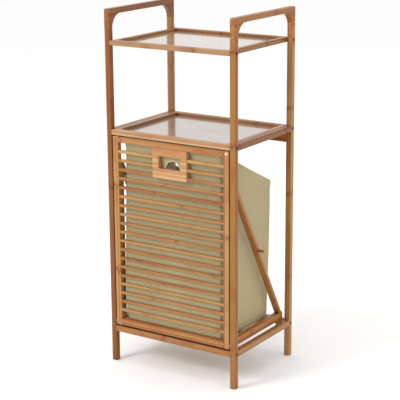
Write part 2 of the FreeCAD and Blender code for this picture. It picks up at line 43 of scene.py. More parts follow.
# ------------------------------------------------------------------ node helpers
class Net:
    """Small helper that builds a shader or group node tree."""

    def __init__(self, tree):
        self.t = tree
        self.n = tree.nodes
        self.l = tree.links

    def put(self, sock, val):
        if isinstance(val, bpy.types.NodeSocket):
            self.l.new(val, sock)
        elif val is not None:
            sock.default_value = val

    def math(self, op, a, b=None, c=None, clamp=False):
        n = self.n.new("ShaderNodeMath")
        n.operation = op
        n.use_clamp = clamp
        self.put(n.inputs[0], a)
        self.put(n.inputs[1], b)
        self.put(n.inputs[2], c)
        return n.outputs[0]

    def sep(self, v):
        n = self.n.new("ShaderNodeSeparateXYZ")
        self.put(n.inputs[0], v)
        return n.outputs[0], n.outputs[1], n.outputs[2]

    def comb(self, x, y, z):
        n = self.n.new("ShaderNodeCombineXYZ")
        for i, q in enumerate((x, y, z)):
            self.put(n.inputs[i], q)
        return n.outputs[0]

    def vmul(self, v, s):
        n = self.n.new("ShaderNodeVectorMath")
        n.operation = "MULTIPLY"
        self.put(n.inputs[0], v)
        self.put(n.inputs[1], s)
        return n.outputs[0]

    def vadd(self, v, s):
        n = self.n.new("ShaderNodeVectorMath")
        n.operation = "ADD"
        self.put(n.inputs[0], v)
        self.put(n.inputs[1], s)
        return n.outputs[0]

    def noise(self, v, scale=1.0, detail=2.0, rough=0.5, out="Fac"):
        n = self.n.new("ShaderNodeTexNoise")
        n.inputs["Scale"].default_value = scale
        n.inputs["Detail"].default_value = detail
        n.inputs["Roughness"].default_value = rough
        self.put(n.inputs["Vector"], v)
        return n.outputs[out]

    def white(self, v, w=None):
        n = self.n.new("ShaderNodeTexWhiteNoise")
        n.noise_dimensions = "4D" if w is not None else "3D"
        self.put(n.inputs["Vector"], v)
        if w is not None:
            self.put(n.inputs["W"], w)
        return n.outputs["Value"], n.outputs["Color"]

    def step(self, v, lo, hi, a=0.0, b=1.0):
        """Smooth step of v from lo to hi, giving a to b."""
        n = self.n.new("ShaderNodeMapRange")
        n.interpolation_type = "SMOOTHSTEP"
        self.put(n.inputs["Value"], v)
        n.inputs["From Min"].default_value = lo
        n.inputs["From Max"].default_value = hi
        n.inputs["To Min"].default_value = a
        n.inputs["To Max"].default_value = b
        return n.outputs["Result"]

    def lin(self, v, lo, hi, a=0.0, b=1.0):
        n = self.n.new("ShaderNodeMapRange")
        self.put(n.inputs["Value"], v)
        n.inputs["From Min"].default_value = lo
        n.inputs["From Max"].default_value = hi
        n.inputs["To Min"].default_value = a
        n.inputs["To Max"].default_value = b
        return n.outputs["Result"]

    def mix(self, f, a, b, mode="MIX"):
        n = self.n.new("ShaderNodeMix")
        n.data_type = "RGBA"
        n.blend_type = mode
        n.clamp_factor = True
        ins = {s.identifier: s for s in n.inputs}
        self.put(ins["Factor_Float"], f)
        for key, val in (("A_Color", a), ("B_Color", b)):
            if isinstance(val, tuple) and len(val) == 3:
                val = (*val, 1.0)
            self.put(ins[key], val)
        return {s.identifier: s for s in n.outputs}["Result_Color"]

    def ramp(self, f, stops):
        n = self.n.new("ShaderNodeValToRGB")
        cr = n.color_ramp
        while len(cr.elements) < len(stops):
            cr.elements.new(0.5)
        for e, (p, c) in zip(cr.elements, stops):
            e.position = p
            e.color = (*c, 1.0)
        self.put(n.inputs[0], f)
        return n.outputs[0]

    def bump(self, h, strength, dist, normal=None):
        n = self.n.new("ShaderNodeBump")
        n.inputs["Strength"].default_value = strength
        n.inputs["Distance"].default_value = dist
        self.put(n.inputs["Height"], h)
        self.put(n.inputs["Normal"], normal)
        return n.outputs[0]

    def coord(self):
        return self.n.new("ShaderNodeTexCoord").outputs["Object"]


def srgb(r, g, b):
    """sRGB 0-255 to linear."""
    out = []
    for c in (r, g, b):
        c /= 255.0
        out.append(c / 12.92 if c <= 0.04045 else ((c + 0.055) / 1.055) ** 2.4)
    return tuple(out)


def new_mat(name):
    m = bpy.data.materials.new(name)
    m.use_nodes = True
    t = m.node_tree
    t.nodes.clear()
    net = Net(t)
    out = t.nodes.new("ShaderNodeOutputMaterial")
    p = t.nodes.new("ShaderNodeBsdfPrincipled")
    t.links.new(p.outputs[0], out.inputs[0])
    return m, net, p


# ------------------------------------------------------------------ bamboo
def bamboo_group():
    """Laminated bamboo. Input vector (u, v, w): u runs along the grain, in metres."""
    g = bpy.data.node_groups.new("laminated_bamboo", "ShaderNodeTree")
    g.interface.new_socket("Vector", in_out="INPUT", socket_type="NodeSocketVector")
    g.interface.new_socket("Seed", in_out="INPUT", socket_type="NodeSocketFloat")
    g.interface.new_socket("Red", in_out="INPUT", socket_type="NodeSocketFloat")
    g.interface.new_socket("Light", in_out="INPUT", socket_type="NodeSocketFloat")
    g.interface.new_socket("Deep", in_out="INPUT", socket_type="NodeSocketFloat")
    g.interface.new_socket("Tint", in_out="INPUT", socket_type="NodeSocketVector")
    g.interface.new_socket("Color", in_out="OUTPUT", socket_type="NodeSocketColor")
    g.interface.new_socket("Roughness", in_out="OUTPUT", socket_type="NodeSocketFloat")
    g.interface.new_socket("Height", in_out="OUTPUT", socket_type="NodeSocketFloat")
    k = Net(g)
    gi = g.nodes.new("NodeGroupInput")
    go = g.nodes.new("NodeGroupOutput")
    vec, seed, red, light, gam, tint = (gi.outputs[i] for i in range(6))
    u, v, w = k.sep(vec)
    off = k.math("MULTIPLY", seed, 3.713)

    # lamellas: strips glued side by side, each with its own tone and node places
    wob = k.noise(k.comb(k.math("MULTIPLY", u, 1.5), v, off), 1.0, 1.0)
    vv = k.math("ADD", k.math("DIVIDE", v, 0.0054), k.math("MULTIPLY", wob, 0.10))
    cv = k.math("FLOOR", k.math("ADD", vv, k.math("MULTIPLY", seed, 0.37)))
    cw = k.math("FLOOR", k.math("ADD", k.math("DIVIDE", w, 0.0061), k.math("MULTIPLY", seed, 0.61)))
    h1, hc = k.white(k.comb(cv, cw, 3.0), seed)
    hr, hg, hb = k.sep(hc)
    fv = k.math("FRACT", k.math("ADD", vv, k.math("MULTIPLY", seed, 0.37)))
    glue = k.math("SUBTRACT", 1.0, k.step(k.math("ABSOLUTE", k.math("SUBTRACT", fv, 0.5)), 0.465, 0.5))
    glue_line = k.math("SUBTRACT", 1.0, glue)

    # slow tone along the strip, streaks and fibre bundles
    slow = k.noise(k.comb(k.math("MULTIPLY", u, 5.0), k.math("MULTIPLY", v, 55.0),
                          k.math("ADD", k.math("MULTIPLY", w, 55.0), off)), 1.0, 3.0, 0.55)
    streak = k.noise(k.comb(k.math("MULTIPLY", u, 14.0), k.math("MULTIPLY", v, 620.0),
                            k.math("ADD", k.math("MULTIPLY", w, 620.0), off)), 1.0, 3.0, 0.6)
    fibre = k.noise(k.comb(k.math("MULTIPLY", u, 55.0), k.math("MULTIPLY", v, 2600.0),
                           k.math("ADD", k.math("MULTIPLY", w, 2600.0), off)), 1.0, 2.0, 0.6)
    fleck = k.step(fibre, 0.60, 0.72)

    # nodes of the cane: a thin dark line with a soft paler and darker band round it
    wav = k.noise(k.comb(k.math("MULTIPLY", u, 20.0), k.math("MULTIPLY", v, 260.0),
                         k.math("ADD", k.math("MULTIPLY", w, 260.0), off)), 1.0, 1.0)
    # most strips of one stick were cut from neighbouring canes, so their nodes nearly line up
    per = 0.236
    jit = k.math("MULTIPLY", k.math("SUBTRACT", hr, 0.5), 0.016)
    pu = k.math("DIVIDE", k.math("ADD", k.math("ADD", u, jit), k.math("MULTIPLY", wav, 0.0016)), per)
    pu = k.math("ADD", pu, k.math("MULTIPLY", seed, 0.381))
    du = k.math("MULTIPLY", k.math("SUBTRACT", k.math("FRACT", pu), 0.5), per)
    ad = k.math("ABSOLUTE", du)
    nodek = k.white(k.comb(k.math("FLOOR", pu), 2.0, 9.0), seed)[0]
    nodek = k.step(nodek, 0.25, 0.60)
    line = k.math("MULTIPLY", k.step(ad, 0.0005, 0.0016, 1.0, 0.0), k.math("ADD", 0.25, k.math("MULTIPLY", nodek, 0.75)))
    band = k.math("MULTIPLY", k.step(ad, 0.001, 0.0125, 1.0, 0.0), k.math("ADD", 0.15, k.math("MULTIPLY", nodek, 0.85)))

    pale = k.mix(red, srgb(206, 160, 110), srgb(196, 134, 90))
    deep = k.mix(red, srgb(184, 128, 76), srgb(172, 100, 60))
    tone = k.math("ADD", k.math("MULTIPLY", slow, 0.75), k.math("MULTIPLY", k.math("SUBTRACT", h1, 0.5), 0.55))
    tone = k.math("ADD", tone, k.math("MULTIPLY", k.math("SUBTRACT", streak, 0.5), 0.55), clamp=True)
    col = k.mix(k.step(tone, 0.22, 0.68), pale, deep)
    # a few reddish stretches, each some tens of millimetres long, where the steaming went deeper
    red_n = k.noise(k.comb(k.math("MULTIPLY", u, 13.0), k.math("MULTIPLY", v, 30.0),
                           k.math("ADD", k.math("MULTIPLY", w, 30.0), off)), 1.0, 2.0, 0.5)
    col = k.mix(k.math("MULTIPLY", k.step(red_n, 0.52, 0.68), 0.34), col, srgb(180, 96, 54))
    col = k.mix(k.math("MULTIPLY", fleck, 0.42), col, srgb(128, 78, 40))
    col = k.mix(k.math("MULTIPLY", glue_line, 0.34), col, srgb(112, 66, 34))
    col = k.mix(k.math("MULTIPLY", band, 0.42), col, srgb(160, 88, 48))
    col = k.mix(k.math("MULTIPLY", line, 0.50), col, srgb(112, 60, 30))

    # long edges handled most are rubbed a little paler and the lacquer is duller there
    bev = g.nodes.new("ShaderNodeBevel")
    bev.samples = 4
    bev.inputs["Radius"].default_value = 0.0016
    geo = g.nodes.new("ShaderNodeNewGeometry")
    dt = g.nodes.new("ShaderNodeVectorMath")
    dt.operation = "DOT_PRODUCT"
    g.links.new(bev.outputs[0], dt.inputs[0])
    g.links.new(geo.outputs["Normal"], dt.inputs[1])
    edge = k.step(dt.outputs["Value"], 0.995, 0.90, 0.0, 1.0)
    patch = k.step(k.noise(k.comb(k.math("MULTIPLY", u, 30.0), k.math("MULTIPLY", v, 90.0),
                                  k.math("MULTIPLY", w, 90.0)), 1.0, 3.0, 0.6), 0.38, 0.70)
    wear = k.math("MULTIPLY", edge, k.math("ADD", 0.35, k.math("MULTIPLY", patch, 0.65)))
    col = k.mix(k.math("MULTIPLY", wear, 0.38), col, srgb(222, 184, 140))

    # painted shade: narrow inside corners found by the ambient occlusion are darkened, standing in for the shade that
    # falls there
    ao = g.nodes.new("ShaderNodeAmbientOcclusion")
    ao.samples = 6
    ao.inputs["Distance"].default_value = 0.012
    corner = k.step(ao.outputs["AO"], 0.78, 0.30, 0.0, 1.0)
    col = k.mix(k.math("MULTIPLY", corner, 0.45), col, srgb(120, 66, 30))
    # painted shadow: the deepest gaps between parts go near black
    gap_painted_shade = k.step(ao.outputs["AO"], 0.40, 0.12, 0.0, 1.0)
    col = k.mix(k.math("MULTIPLY", gap_painted_shade, 0.85), col, srgb(52, 28, 13))

    gm = g.nodes.new("ShaderNodeGamma")
    k.put(gm.inputs["Color"], col)
    k.put(gm.inputs["Gamma"], gam)
    hsv = g.nodes.new("ShaderNodeHueSaturation")
    k.put(hsv.inputs["Value"], light)
    k.put(hsv.inputs["Color"], k.vmul(gm.outputs[0], tint))

    rough = k.math("ADD", 0.34, k.math("MULTIPLY", streak, 0.14))
    rough = k.math("ADD", rough, k.math("MULTIPLY", fleck, 0.10))
    rough = k.math("ADD", rough, k.math("MULTIPLY", wear, 0.10))

    hgt = k.math("MULTIPLY", streak, 0.35)
    hgt = k.math("SUBTRACT", hgt, k.math("MULTIPLY", fleck, 0.5))
    hgt = k.math("SUBTRACT", hgt, k.math("MULTIPLY", glue_line, 0.5))
    hgt = k.math("ADD", hgt, k.math("MULTIPLY", band, 0.35))
    hgt = k.math("SUBTRACT", hgt, k.math("MULTIPLY", line, 0.7))

    g.links.new(hsv.outputs[0], go.inputs[0])
    g.links.new(rough, go.inputs[1])
    g.links.new(hgt, go.inputs[2])
    return g


BAMBOO = bamboo_group()


def bamboo(name, axis="x", seed=0.0, red=0.35, light=1.0, angle=0.0, per_slat=None, coat=0.22, cw=0.16, deep=1.0, tint=None):
    m, k, p = new_mat(name)
    c = k.coord()
    if angle:
        r = k.n.new("ShaderNodeVectorRotate")
        r.rotation_type = "X_AXIS"
        r.inputs["Angle"].default_value = angle
        k.put(r.inputs["Vector"], c)
        c = r.outputs[0]
    x, y, z = k.sep(c)
    uvw = {"x": (x, z, y), "y": (y, z, x), "z": (z, x, y)}[axis]
    seed_s, red_s, light_s, deep_s = seed, red, light, deep
    u = uvw[0]
    if per_slat:
        top, pitch = per_slat
        idx = k.math("FLOOR", k.math("DIVIDE", k.math("SUBTRACT", top + pitch / 2, z), pitch))
        side = k.math("GREATER_THAN", x, 0.0)
        val, colr = k.white(k.comb(idx, 0.0, 7.0))
        a, b, cc = k.sep(colr)
        seed_s = k.math("ADD", k.math("MULTIPLY", idx, 1.37), k.math("MULTIPLY", a, 5.0))
        red_s = k.lin(b, 0.0, 1.0, 0.0, 0.5)
        light_s = k.lin(cc, 0.0, 1.0, light * 0.94, light * 1.05)
        deep_s = k.lin(a, 0.0, 1.0, deep - 0.12, deep + 0.16)
        u = k.math("ADD", u, k.math("MULTIPLY", a, 3.0))
    vec = k.comb(u, uvw[1], uvw[2])
    g = k.n.new("ShaderNodeGroup")
    g.node_tree = BAMBOO
    k.put(g.inputs["Vector"], vec)
    k.put(g.inputs["Seed"], seed_s)
    k.put(g.inputs["Red"], red_s)
    k.put(g.inputs["Light"], light_s)
    k.put(g.inputs["Deep"], deep_s)
    g.inputs["Tint"].default_value = tint or (1.0, 1.0, 1.0)
    k.put(p.inputs["Base Color"], g.outputs["Color"])
    k.put(p.inputs["Roughness"], g.outputs["Roughness"])
    k.put(p.inputs["Normal"], k.bump(g.outputs["Height"], 0.35, 0.0002))
    p.inputs["IOR"].default_value = 1.5
    p.inputs["Coat Weight"].default_value = coat
    p.inputs["Coat Roughness"].default_value = cw
    p.inputs["Coat IOR"].default_value = 1.5
    p.inputs["Specular IOR Level"].default_value = 0.3
    return m


def paint(node, mat):
    o = NODES[node]
    if not o.material_slots:
        o.data.materials.append(mat)
    for s in o.material_slots:
        s.material = mat


# grain axis, seed, red tone and lightness of every stick
# tone of each stick as a multiplier on the base tone, by node. The multipliers hold painted shade as well as the wood
# tone; side_rail_mid_right is the darkest, painted for the shade under the shelf rail
TINT = {
    "base_batten_front": (0.740, 0.719, 0.401),
    "base_batten_rear": (0.740, 0.719, 0.401),
    "bottom_rail_front": (0.706, 0.684, 0.540),
    "bottom_rail_rear": (0.706, 0.684, 0.540),
    "braces": (0.740, 0.719, 0.401),
    "door_bottom_rail": (0.848, 0.914, 0.731),
    "door_stile_left": (0.864, 1.044, 0.990),
    "door_stile_right": (0.814, 0.874, 0.854),
    "door_top_rail": (0.774, 0.729, 0.566),
    "hamper_rail_left": (0.739, 0.610, 0.278),
    "hamper_rail_right": (0.739, 0.610, 0.278),
    "hamper_upright_left": (0.700, 0.690, 0.480),
    "hamper_upright_right": (0.700, 0.690, 0.480),
    "handle_block": (0.909, 0.986, 1.050),
    "handle_left": (0.559, 0.499, 0.335),
    "handle_right": (0.690, 0.676, 0.396),
    "middle_shelf_end_rail_left": (0.715, 0.821, 1.006),
    "middle_shelf_end_rail_right": (0.799, 0.918, 1.125),
    "middle_shelf_front_rail": (0.841, 0.966, 1.184),
    "middle_shelf_rear_rail": (0.740, 0.850, 1.042),
    "post_front_left": (0.674, 0.723, 0.291),
    "post_front_right": (0.657, 0.652, 0.324),
    "post_rear_left": (0.650, 0.720, 0.620),
    "post_rear_right": (0.745, 0.820, 0.570),
    "rear_apron": (1.000, 0.960, 0.860),
    "rest_blocks": (0.740, 0.719, 0.401),
    "side_rail_bottom_left": (0.713, 0.753, 0.534),
    "side_rail_bottom_right": (0.713, 0.753, 0.534),
    "side_rail_mid_left": (0.740, 0.760, 0.640),
    # painted shade: much darker than its twin on the left, standing in for the shade under the shelf rail
    "side_rail_mid_right": (0.500, 0.400, 0.220),
    "slats": (0.745, 0.830, 0.690),
    "upper_shelf_end_rail_left": (0.665, 0.720, 0.520),
    "upper_shelf_end_rail_right": (0.665, 0.720, 0.520),
    "upper_shelf_front_rail": (0.635, 0.692, 0.848),
    "upper_shelf_rear_rail": (0.600, 0.620, 0.560),
}

STICKS = {
    "post_front_left": ("z", 1.0, 0.34, 1.0, 1.50),
    "post_front_right": ("z", 2.0, 0.28, 1.0, 1.40),
    "post_rear_left": ("z", 3.0, 0.14, 1.0, 1.20),
    "post_rear_right": ("z", 4.0, 0.18, 1.0, 1.25),
    "handle_left": ("y", 5.0, 0.25, 1.0, 1.45),
    "handle_right": ("y", 6.0, 0.23, 1.0, 1.30),
    "side_rail_mid_left": ("y", 7.0, 0.18, 1.0, 1.25),
    "side_rail_mid_right": ("y", 8.0, 0.18, 1.0, 1.45),
    "side_rail_bottom_left": ("y", 9.0, 0.20, 1.0, 1.25),
    "side_rail_bottom_right": ("y", 10.0, 0.20, 1.0, 1.20),
    "upper_shelf_front_rail": ("x", 11.0, 0.11, 1.0, 1.22),
    "upper_shelf_rear_rail": ("x", 12.0, 0.23, 1.0, 1.30),
    "upper_shelf_end_rail_left": ("y", 13.0, 0.16, 1.0, 1.25),
    "upper_shelf_end_rail_right": ("y", 14.0, 0.14, 1.0, 1.35),
    "middle_shelf_front_rail": ("x", 15.0, 0.20, 1.0, 1.06),
    "middle_shelf_rear_rail": ("x", 16.0, 0.23, 1.0, 1.25),
    "middle_shelf_end_rail_left": ("y", 17.0, 0.16, 1.0, 1.15),
    "middle_shelf_end_rail_right": ("y", 18.0, 0.14, 1.0, 1.15),
    "rear_apron": ("x", 19.0, 0.27, 1.0, 1.45),
    "bottom_rail_front": ("x", 20.0, 0.32, 1.0, 1.35),
    "bottom_rail_rear": ("x", 21.0, 0.25, 1.0, 1.35),
    "door_stile_left": ("z", 22.0, 0.07, 1.0, 1.42),
    "door_stile_right": ("z", 23.0, 0.02, 1.0, 1.28),
    "door_top_rail": ("x", 24.0, 0.20, 1.0, 1.12),
    "door_bottom_rail": ("x", 25.0, 0.14, 1.0, 1.42),
    "handle_block": ("x", 26.0, 0.14, 1.0, 1.02),
    "hamper_rail_left": ("y", 27.0, 0.23, 1.0, 1.25),
    "hamper_rail_right": ("y", 28.0, 0.23, 1.0, 1.20),
    "hamper_upright_left": ("z", 36.0, 0.20, 1.0, 1.30),
    "hamper_upright_right": ("z", 37.0, 0.20, 1.0, 1.30),
    "base_batten_front": ("x", 29.0, 0.14, 1.0, 1.20),
    "base_batten_rear": ("x", 30.0, 0.16, 1.0, 1.20),
    "rest_blocks": ("y", 31.0, 0.18, 1.0, 1.25),
}
for nm, (ax, sd, rd, lt, dp) in STICKS.items():
    paint(nm, bamboo("bamboo_" + nm, ax, sd, rd, lt, deep=dp, tint=TINT.get(nm)))

# the braces run at a slant, so their grain does too
BR_ANG = math.atan2(0.581 - 0.129, 0.124 + 0.134)
for i, nm in enumerate(("brace_left", "brace_right")):
    paint(nm, bamboo("bamboo_" + nm, "y", 33.0 + i, 0.30, 1.0, angle=BR_ANG, deep=1.25, tint=TINT.get("braces")))

SLAT_TOP, SLAT_PITCH = 0.5954, (0.5954 - 0.1526) / 18
paint("door_slats", bamboo("bamboo_slats", "x", 40.0, 0.5, 1.0, per_slat=(SLAT_TOP, SLAT_PITCH), deep=1.25, tint=TINT.get("slats")))


# ------------------------------------------------------------------ shelf panels
def panel_mat(name, seed, tint):
    """Glossy lacquered board with a pale bamboo face: wide strips, very fine grain."""
    m, k, p = new_mat(name)
    x, y, z = k.sep(k.coord())
    strip = k.math("FLOOR", k.math("DIVIDE", y, 0.0195))
    val, colr = k.white(k.comb(strip, seed, 1.0))
    r1, r2, r3 = k.sep(colr)
    seg = k.math("FLOOR", k.math("ADD", k.math("DIVIDE", x, 0.31), k.math("MULTIPLY", r1, 1.0)))
    v2, c2 = k.white(k.comb(strip, seg, seed))
    grain = k.noise(k.comb(k.math("MULTIPLY", x, 9.0), k.math("MULTIPLY", y, 420.0), seed), 1.0, 4.0, 0.6)
    fine = k.noise(k.comb(k.math("MULTIPLY", x, 40.0), k.math("MULTIPLY", y, 2400.0), seed), 1.0, 2.0, 0.6)
    cloud = k.noise(k.comb(k.math("MULTIPLY", x, 6.0), k.math("MULTIPLY", y, 9.0), seed), 1.0, 3.0, 0.5)
    t = k.math("ADD", k.math("MULTIPLY", k.math("SUBTRACT", v2, 0.5), 0.30), k.math("MULTIPLY", grain, 0.5))
    t = k.math("ADD", t, k.math("MULTIPLY", cloud, 0.35), clamp=True)
    col = k.mix(k.step(t, 0.15, 0.85), tint[0], tint[1])
    col = k.mix(k.math("MULTIPLY", k.step(fine, 0.60, 0.74), 0.25), col, tint[2])
    fy = k.math("ABSOLUTE", k.math("SUBTRACT", k.math("FRACT", k.math("DIVIDE", y, 0.0195)), 0.5))
    col = k.mix(k.math("MULTIPLY", k.step(fy, 0.488, 0.5), 0.22), col, tint[2])
    k.put(p.inputs["Base Color"], col)
    smear = k.noise(k.comb(k.math("MULTIPLY", x, 14.0), k.math("MULTIPLY", y, 22.0), seed), 1.0, 4.0, 0.6)
    k.put(p.inputs["Roughness"], k.lin(smear, 0.25, 0.75, 0.20, 0.30))
    orange = k.noise(k.coord(), 46.0, 1.0, 0.5)
    k.put(p.inputs["Normal"], k.bump(k.math("ADD", k.math("MULTIPLY", orange, 0.5),
                                            k.math("MULTIPLY", grain, 0.06)), 0.012, 0.0003))
    p.inputs["IOR"].default_value = 1.5
    p.inputs["Coat Weight"].default_value = 1.0
    p.inputs["Coat Roughness"].default_value = 0.07
    p.inputs["Coat IOR"].default_value = 1.55
    return m


PANEL_TINT = (srgb(168, 146, 128), srgb(154, 127, 108), srgb(130, 94, 70))
paint("upper_shelf_panel", panel_mat("panel_upper", 3.1, PANEL_TINT))
paint("middle_shelf_panel", panel_mat("panel_middle", 8.7, PANEL_TINT))


# ------------------------------------------------------------------ small parts
def simple(name, base, dark, scale, rough, bump=0.1, metal=0.0, coat=0.0, sheen=0.0, var=0.35, aniso=0.0):
    m, k, p = new_mat(name)
    c = k.coord()
    n1 = k.noise(c, scale, 4.0, 0.6)
    n2 = k.noise(c, scale * 6, 2.0, 0.6)
    f = k.math("ADD", k.math("MULTIPLY", n1, 0.65), k.math("MULTIPLY", n2, 0.35))
    k.put(p.inputs["Base Color"], k.mix(k.math("MULTIPLY", k.step(f, 0.35, 0.68), var), base, dark))
    k.put(p.inputs["Roughness"], k.lin(n2, 0.3, 0.7, rough[0], rough[1]))
    k.put(p.inputs["Normal"], k.bump(f, bump, 0.0002))
    p.inputs["Metallic"].default_value = metal
    p.inputs["Coat Weight"].default_value = coat
    p.inputs["Sheen Weight"].default_value = sheen
    p.inputs["Anisotropic"].default_value = aniso
    return m


paint("frame_bolts", simple("bolt_bronze", srgb(96, 74, 56), srgb(48, 36, 28), 900, (0.30, 0.46), 0.12, 1.0, var=0.8))
paint("barrel_nuts", simple("nut_steel", srgb(150, 146, 140), srgb(96, 92, 88), 700, (0.32, 0.5), 0.12, 1.0, var=0.6))
paint("bag_screws", simple("screw_steel", srgb(158, 152, 144), srgb(90, 86, 80), 800, (0.30, 0.45), 0.12, 1.0, var=0.6))
paint("pivot_pins", simple("pin_steel", srgb(168, 166, 162), srgb(110, 106, 100), 600, (0.22, 0.36), 0.08, 1.0, var=0.5))
paint("pivot_washers", simple("washer_nylon", srgb(222, 218, 206), srgb(196, 188, 172), 300, (0.42, 0.55), 0.06, var=0.6))
paint("pivot_bushes", simple("bush_nylon", srgb(226, 222, 210), srgb(198, 190, 174), 300, (0.42, 0.55), 0.06, var=0.6))
paint("door_plug", simple("cream_plug", srgb(206, 190, 148), srgb(186, 168, 124), 260, (0.26, 0.38), 0.05, coat=0.3, var=0.6))
paint("door_bumper", simple("cream_bumper", srgb(214, 198, 160), srgb(190, 172, 132), 260, (0.40, 0.55), 0.08, var=0.6))
paint("foot_pads", simple("felt_pads", srgb(92, 92, 98), srgb(58, 58, 66), 1500, (0.92, 1.0), 0.8, sheen=0.5, var=1.0))

# dowels and pegs: birch-like turned wood, stained on the stop pegs
paint("frame_dowels", bamboo("dowel_frame", "x", 50.0, 0.1, 1.06))
paint("hamper_dowels", bamboo("dowel_hamper", "x", 51.0, 0.1, 1.06))
paint("stop_pegs", bamboo("dowel_pegs", "x", 52.0, 0.1, 0.95, deep=1.15, tint=(0.76, 0.80, 0.66)))


def hardboard():
    m, k, p = new_mat("base_hardboard")
    c = k.coord()
    n = k.noise(c, 1400.0, 3.0, 0.65)
    n2 = k.noise(k.vmul(c, (1.0, 1.0, 1.0)), 60.0, 4.0, 0.6)
    col = k.mix(k.step(n, 0.3, 0.7), srgb(150, 112, 76), srgb(112, 78, 50))
    col = k.mix(k.math("MULTIPLY", k.step(n2, 0.4, 0.7), 0.35), col, srgb(172, 134, 94))
    k.put(p.inputs["Base Color"], col)
    k.put(p.inputs["Roughness"], k.lin(n, 0.3, 0.7, 0.62, 0.80))
    k.put(p.inputs["Normal"], k.bump(n, 0.25, 0.0002))
    return m


paint("bag_base_board", hardboard())


# ------------------------------------------------------------------ bag cloth
def cloth_mat(name, light=1.0, warm=0.0, thread=0.00075, binding=False):
    """Plain-weave canvas. The threads follow the panel they are on, worked out from the object normal."""
    m, k, p = new_mat(name)
    tc = k.n.new("ShaderNodeTexCoord")
    c = tc.outputs["Object"]
    x, y, z = k.sep(c)
    nx, ny, nz = k.sep(tc.outputs["Normal"])
    ax, ay, az = (k.math("ABSOLUTE", q) for q in (nx, ny, nz))
    side = k.math("GREATER_THAN", ax, ay)
    a = k.math("ADD", k.math("MULTIPLY", y, side), k.math("MULTIPLY", x, k.math("SUBTRACT", 1.0, side)))
    flat = k.math("GREATER_THAN", az, 0.75)
    b = k.math("ADD", k.math("MULTIPLY", z, k.math("SUBTRACT", 1.0, flat)), k.math("MULTIPLY", y, flat))
    a = k.math("ADD", k.math("MULTIPLY", a, k.math("SUBTRACT", 1.0, flat)), k.math("MULTIPLY", x, flat))
    wob = k.noise(c, 55.0, 2.0, 0.5)
    a = k.math("ADD", a, k.math("MULTIPLY", wob, 0.0006))
    b = k.math("ADD", b, k.math("MULTIPLY", wob, 0.0006))
    ta = k.math("DIVIDE", a, thread)
    tb = k.math("DIVIDE", b, thread)
    sa = k.math("ABSOLUTE", k.math("SINE", k.math("MULTIPLY", ta, math.pi)))
    sb = k.math("ABSOLUTE", k.math("SINE", k.math("MULTIPLY", tb, math.pi)))
    par = k.math("MODULO", k.math("ADD", k.math("FLOOR", ta), k.math("FLOOR", tb)), 2.0)
    par = k.math("ABSOLUTE", par)
    over = k.math("GREATER_THAN", par, 0.5)
    h = k.math("ADD", k.math("MULTIPLY", k.math("MULTIPLY", sa, k.math("POWER", sb, 0.5)), over),
               k.math("MULTIPLY", k.math("MULTIPLY", sb, k.math("POWER", sa, 0.5)), k.math("SUBTRACT", 1.0, over)))
    # slubs: some threads a little thicker and darker, in both directions
    s1 = k.noise(k.comb(k.math("MULTIPLY", ta, 0.9), k.math("MULTIPLY", b, 22.0), 1.0), 1.0, 1.0, 0.5)
    s2 = k.noise(k.comb(k.math("MULTIPLY", a, 22.0), k.math("MULTIPLY", tb, 0.9), 5.0), 1.0, 1.0, 0.5)
    slub = k.math("ADD", s1, s2)
    mott = k.noise(c, 14.0, 4.0, 0.6)
    base = k.mix(warm, srgb(201 * light, 185 * light, 143 * light), srgb(208 * light, 184 * light, 142 * light))
    col = k.mix(k.math("MULTIPLY", k.step(slub, 0.75, 1.25), 0.28), base, srgb(178 * light, 166 * light, 120 * light))
    col = k.mix(k.math("MULTIPLY", k.step(mott, 0.35, 0.70), 0.16), col, srgb(184 * light, 176 * light, 134 * light))
    # painted shade: the low valleys between the threads are darkened
    col = k.mix(k.math("MULTIPLY", k.step(h, 0.45, 0.05), 0.30), col, srgb(140 * light, 126 * light, 88 * light))
    k.put(p.inputs["Base Color"], col)
    k.put(p.inputs["Roughness"], k.lin(h, 0.0, 1.0, 0.95, 0.82))
    k.put(p.inputs["Normal"], k.bump(k.math("ADD", h, k.math("MULTIPLY", slub, 0.3)), 0.30, 0.00025))
    p.inputs["Sheen Weight"].default_value = 0.25
    p.inputs["Sheen Roughness"].default_value = 0.45
    p.inputs["Sheen Tint"].default_value = (*srgb(236, 230, 212), 1.0)
    p.inputs["Specular IOR Level"].default_value = 0.25
    return m


CLOTH = cloth_mat("bag_canvas", 0.915)


def thread_mat():
    m, k, p = new_mat("bag_thread")
    c = k.coord()
    n = k.noise(c, 2600.0, 2.0, 0.6)
    k.put(p.inputs["Base Color"], k.mix(k.step(n, 0.35, 0.65), srgb(228, 218, 188), srgb(192, 178, 138)))
    k.put(p.inputs["Roughness"], k.lin(n, 0.3, 0.7, 0.55, 0.75))
    k.put(p.inputs["Normal"], k.bump(n, 0.4, 0.0001))
    p.inputs["Sheen Weight"].default_value = 0.3
    return m


THREAD = thread_mat()
paint("bag_ring", simple("ring_cream", srgb(196, 182, 146), srgb(176, 160, 124), 500, (0.5, 0.66), 0.15, sheen=0.2, var=0.6))

# the bag: the sections of its CAD solid, in metres
BZ0, BZF, SLOPE, YF = 0.118, 0.627, -0.505, -0.133
THICK = 0.0015
RC = 0.011
HOLE_R, HOLE_Z = 0.0237, 0.564


def section(z):
    t = (z - BZ0) / (BZF - BZ0)
    belly = math.sin(math.pi * min(max(t * 1.12, 0.0), 1.0))
    hw = 0.1492 + 0.0022 * belly
    yr = 0.1015 + 0.0135 * (z - BZ0) / 0.383 + 0.0012 * belly
    return hw, yr


def smooth(a, b, x):
    t = min(max((x - a) / (b - a), 0.0), 1.0)
    return t * t * (3 - 2 * t)


def lump(x, c, w):
    return math.exp(-((x - c) / w) ** 2)


